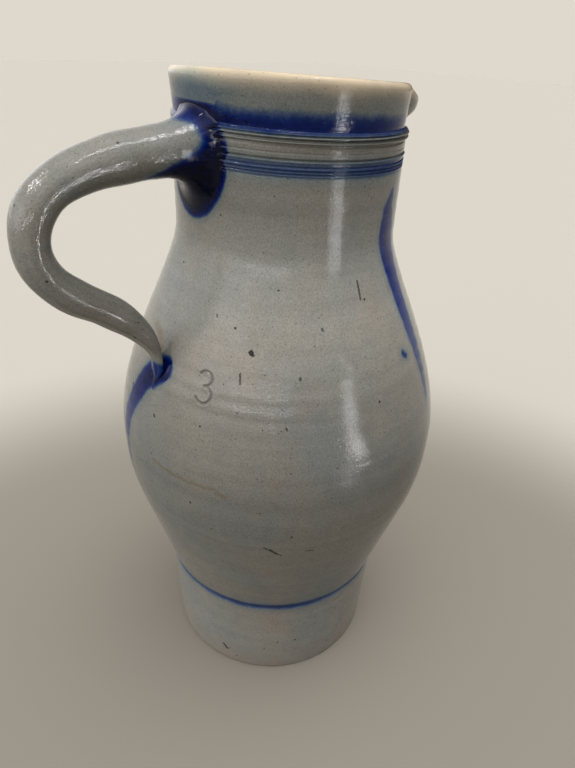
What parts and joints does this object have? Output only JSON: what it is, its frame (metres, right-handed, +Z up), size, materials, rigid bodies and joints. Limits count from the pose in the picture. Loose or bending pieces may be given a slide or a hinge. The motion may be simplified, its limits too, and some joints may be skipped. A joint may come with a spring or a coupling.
{
  "type": "pouring jug",
  "caption": "Salt-glazed grey stoneware pouring jug with a pear-shaped belly, narrow corded neck, pinched beak and one pulled handle, painted in cobalt blue.",
  "frame": {"origin": "centre of the flat underside, on the surface the jug stands on", "axes": "+Z up the axis the pot was thrown on, -X towards the handle, so that the beak points roughly along +X"},
  "size_m": [0.1987, 0.1604, 0.3058],
  "materials": {
    "salt_glaze": "grey salt glaze with a fine orange-peel surface, iron specks and a toasted lip",
    "cobalt_glaze": "dense cobalt blue under glossy salt glaze"
  },
  "bodies": {
    "root": {"jug_body": "salt_glaze", "handle": "salt_glaze", "upper_luting": "cobalt_glaze", "lower_luting": "cobalt_glaze"}
  },
  "joints": []
}
